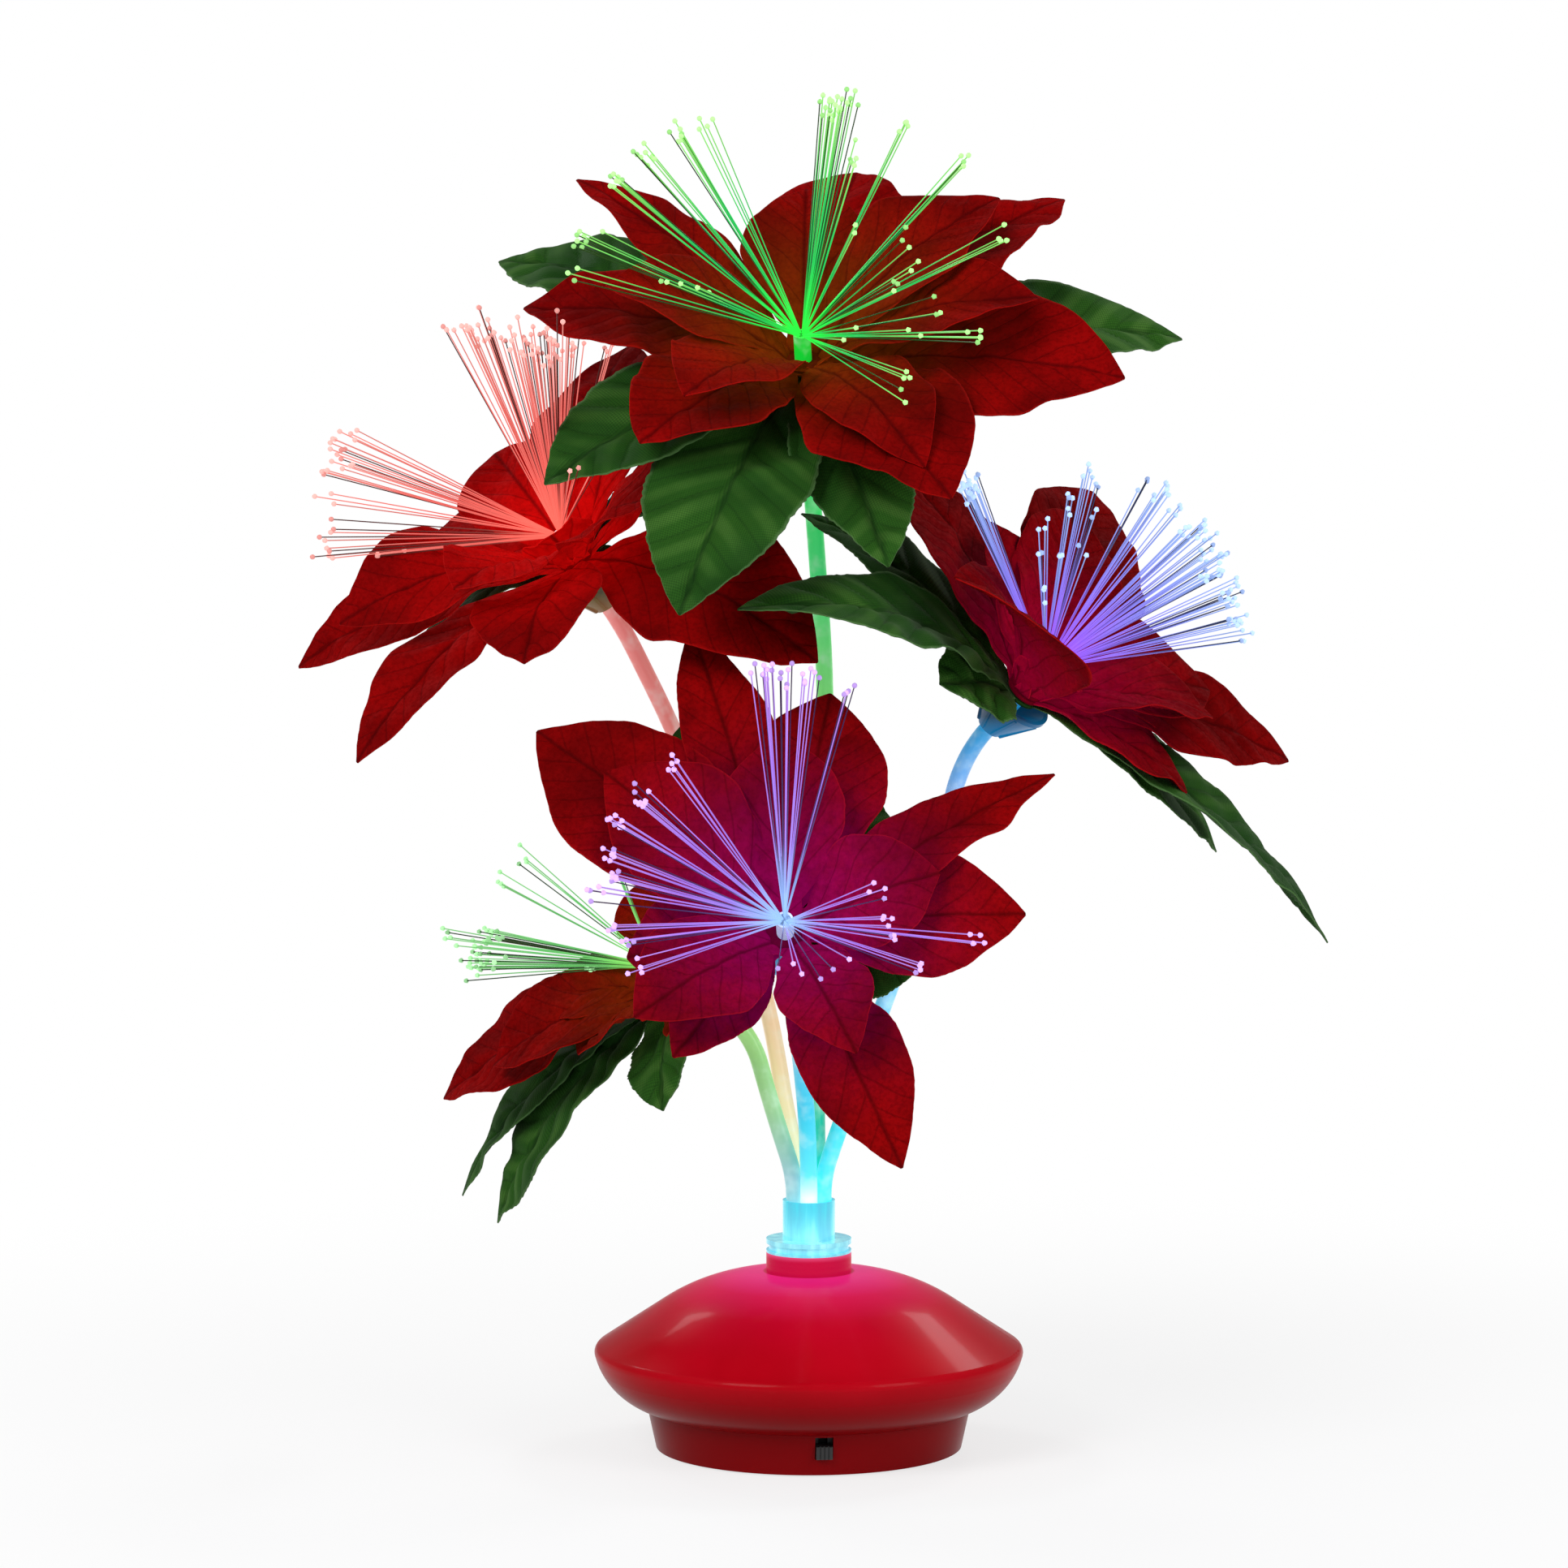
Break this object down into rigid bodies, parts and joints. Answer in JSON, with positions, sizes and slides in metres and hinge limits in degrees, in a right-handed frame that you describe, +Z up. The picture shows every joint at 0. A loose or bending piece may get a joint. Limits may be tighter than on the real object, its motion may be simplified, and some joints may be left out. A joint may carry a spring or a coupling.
{
  "type": "fiber optic flower light",
  "caption": "Table light: lamps in a round battery base shine up a bunch of stem tubes into velvet flowers whose hearts are sprays of optic fibre.",
  "frame": {"origin": "centre of the base's flat underside, on the base's axis", "axes": "+Z up through the neck, -Y towards the side with the switch, which is the front"},
  "size_m": [0.2661, 0.1944, 0.3494],
  "materials": {
    "red_shell": "high gloss, tinted by the lamps near the neck",
    "black_plastic": "moulded",
    "white_plastic": "moulded",
    "green_plastic": "moulded",
    "clear_plastic": "clear",
    "lamp_clear": "clear",
    "steel": "bright",
    "cell_jacket": "printed wrap left plain",
    "board_green": "solder mask",
    "wire_red": "smooth",
    "wire_black": "smooth",
    "wire_white": "smooth",
    "red_velvet": "velvet pile",
    "green_cloth": "stiffened satin weave",
    "green_stem": "clear tube, lit from inside",
    "peach_stem": "clear tube, lit from inside",
    "blue_stem": "clear tube, lit from inside",
    "cyan_stem": "clear tube, lit from inside",
    "lime_stem": "clear tube, lit from inside",
    "green_fibre": "clear strand with a lit tip",
    "pink_fibre": "clear strand with a lit tip",
    "white_blue_fibre": "clear strand with a lit tip",
    "violet_fibre": "clear strand with a lit tip",
    "lime_fibre": "clear strand with a lit tip"
  },
  "bodies": {
    "base": {"upper_shell": "red_shell", "lower_shell": "red_shell", "case_screws": "steel", "battery_cells": "cell_jacket", "contact_springs": "steel", "contact_plates": "steel", "switch_body": "black_plastic", "led_board": "board_green", "leds": "lamp_clear", "light_cup": "white_plastic", "board_screws": "steel", "board_chips": "black_plastic", "red_wire": "wire_red", "black_wire": "wire_black", "switch_wire": "wire_white"},
    "switch_knob": {"switch_knob": "black_plastic"},
    "battery_door": {"battery_door": "red_shell"},
    "neck_plug": {"neck_plug": "clear_plastic"},
    "bouquet": {"stem_sleeve": "clear_plastic", "top_stem_tube": "green_stem", "top_fibre_bundle": "green_fibre", "top_fibre_spray": "green_fibre", "top_calyx": "green_plastic", "top_leaves": "green_cloth", "top_outer_bracts": "red_velvet", "top_inner_bracts": "red_velvet", "left_stem_tube": "peach_stem", "left_fibre_bundle": "pink_fibre", "left_fibre_spray": "pink_fibre", "left_calyx": "green_plastic", "left_leaves": "green_cloth", "left_outer_bracts": "red_velvet", "left_inner_bracts": "red_velvet", "right_stem_tube": "blue_stem", "right_fibre_bundle": "white_blue_fibre", "right_fibre_spray": "white_blue_fibre", "right_calyx": "green_plastic", "right_leaves": "green_cloth", "right_outer_bracts": "red_velvet", "right_inner_bracts": "red_velvet", "front_stem_tube": "cyan_stem", "front_fibre_bundle": "violet_fibre", "front_fibre_spray": "violet_fibre", "front_calyx": "green_plastic", "front_leaves": "green_cloth", "front_outer_bracts": "red_velvet", "front_inner_bracts": "red_velvet", "low_stem_tube": "lime_stem", "low_fibre_bundle": "lime_fibre", "low_fibre_spray": "lime_fibre", "low_calyx": "green_plastic", "low_leaves": "green_cloth", "low_outer_bracts": "red_velvet", "low_inner_bracts": "red_velvet"}
  },
  "joints": [
    {"name": "switch_slide", "type": "slide", "parent": "base", "child": "switch_knob", "axis": [0, 0, 1], "range_m": [0, 0.002]},
    {"name": "battery_door_hinge", "type": "hinge", "parent": "base", "child": "battery_door", "pos_m": [-0.02795, 0, 0.002], "axis": [0, 1, 0], "range_deg": [0, 80]},
    {"name": "neck_plug_lift", "type": "slide", "parent": "base", "child": "neck_plug", "axis": [0, 0, 1], "range_m": [0, 0.012]},
    {"name": "bouquet_turn", "type": "hinge", "parent": "neck_plug", "child": "bouquet", "pos_m": [0, 0, 0.05], "axis": [0, 0, 1], "continuous": true}
  ]
}
